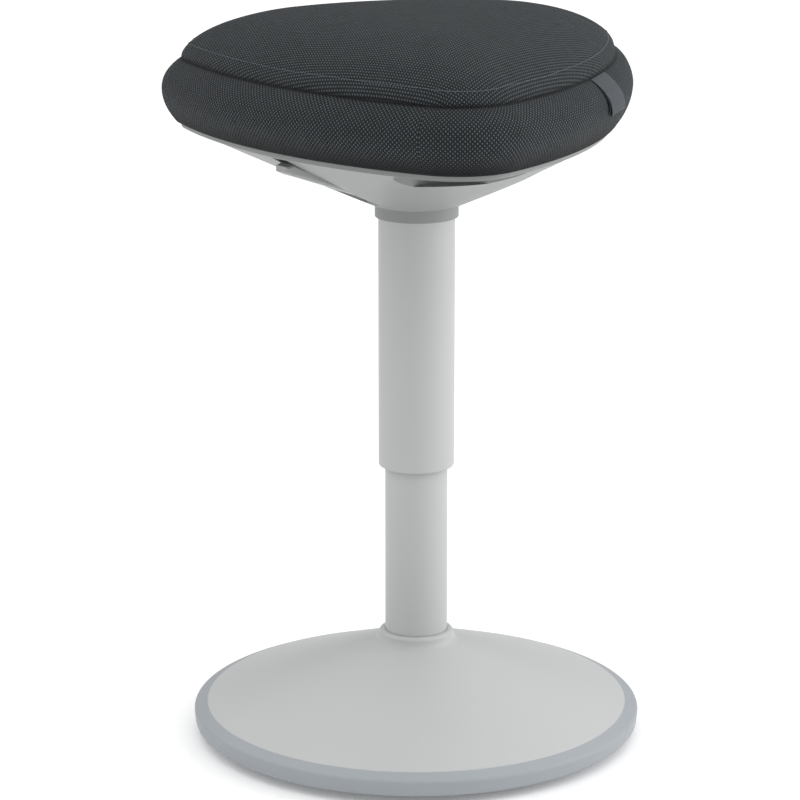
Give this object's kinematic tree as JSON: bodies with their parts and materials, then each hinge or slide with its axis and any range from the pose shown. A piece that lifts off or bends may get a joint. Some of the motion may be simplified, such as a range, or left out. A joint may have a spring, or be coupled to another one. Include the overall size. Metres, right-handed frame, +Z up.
{
  "type": "wobble stool",
  "caption": "Height-adjustable wobble stool: rounded-triangular padded seat with release lever on a telescopic gas-lift column and a weighted domed rocker base.",
  "frame": {"origin": "centre of the sole's flat spot, on the column axis at floor level", "axes": "+Z up along the column, -Y towards the front corner of the seat, where the finger grip is"},
  "size_m": [0.3792, 0.3892, 0.5878],
  "materials": {
    "sole_rubber": "matt",
    "rim_rubber": "matt, blue-grey",
    "grey_paint": "fine satin powder coat, light grey",
    "steel": "zinc plated",
    "chrome": "polished",
    "iron": "as cast",
    "black_paint": "satin black",
    "black_plastic": "moulded, fine grain",
    "shell_plastic": "moulded, fine grain, light grey",
    "lever_plastic": "moulded, satin, light grey",
    "seal_rubber": "matt black",
    "plywood": "raw birch plywood",
    "foam": "open-cell foam",
    "seat_fabric": "coarse plain weave, dark slate",
    "tag_fabric": "fine woven ribbon"
  },
  "bodies": {
    "base": {"rocker_sole": "sole_rubber", "bottom_pan": "steel", "rubber_rim": "rim_rubber", "base_dome": "grey_paint", "cast_weight": "iron", "foot_plate": "steel", "foot_washers": "steel", "foot_bolts": "steel", "lower_tube": "grey_paint", "guide_bushing": "black_plastic", "rod_anchor": "steel", "bearing_lower_race": "steel", "bearing_cage": "black_plastic", "bearing_balls": "chrome"},
    "rod": {"piston_rod": "chrome", "rod_clip": "steel", "bearing_upper_race": "steel", "bump_buffer": "seal_rubber", "piston": "steel", "piston_seal": "seal_rubber", "piston_nut": "steel"},
    "seat": {"gas_cylinder": "black_paint", "rod_guide": "steel", "rod_seal": "seal_rubber", "valve_housing": "steel", "taper_socket": "black_paint", "column_sleeve": "grey_paint", "sleeve_glide": "black_plastic", "seat_shell": "shell_plastic", "lift_bracket": "black_paint", "bracket_screws": "steel", "tee_nuts": "steel", "seat_board": "plywood", "shell_screws": "steel", "foam_core": "foam", "seat_cover": "seat_fabric", "side_tag": "tag_fabric", "lever_pin": "steel", "lever_clips": "steel"},
    "lever": {"lever_arm": "black_paint", "lever_handle": "lever_plastic", "lever_screws": "steel"},
    "valve": {"valve_pin": "steel"}
  },
  "joints": [
    {"name": "swivel", "type": "hinge", "parent": "base", "child": "rod", "pos_m": [0, 0, 0.0225], "axis": [0, 0, 1], "continuous": true},
    {"name": "lift", "type": "slide", "parent": "rod", "child": "seat", "axis": [0, 0, 1], "range_m": [0, 0.18]},
    {"name": "lever", "type": "hinge", "parent": "seat", "child": "lever", "pos_m": [-0.0433, -0.025, 0.4778], "axis": [-0.5, 0.866, 0], "range_deg": [0, 3], "stiffness_Nm_per_rad": 4, "springref_deg": -6.88},
    {"name": "valve_press", "type": "slide", "parent": "seat", "child": "valve", "axis": [0, 0, -1], "range_m": [0, 0.003]}
  ],
  "couplings": [
    {"joint": "valve_press", "follows": "lever", "m_per_rad": 0.05}
  ]
}
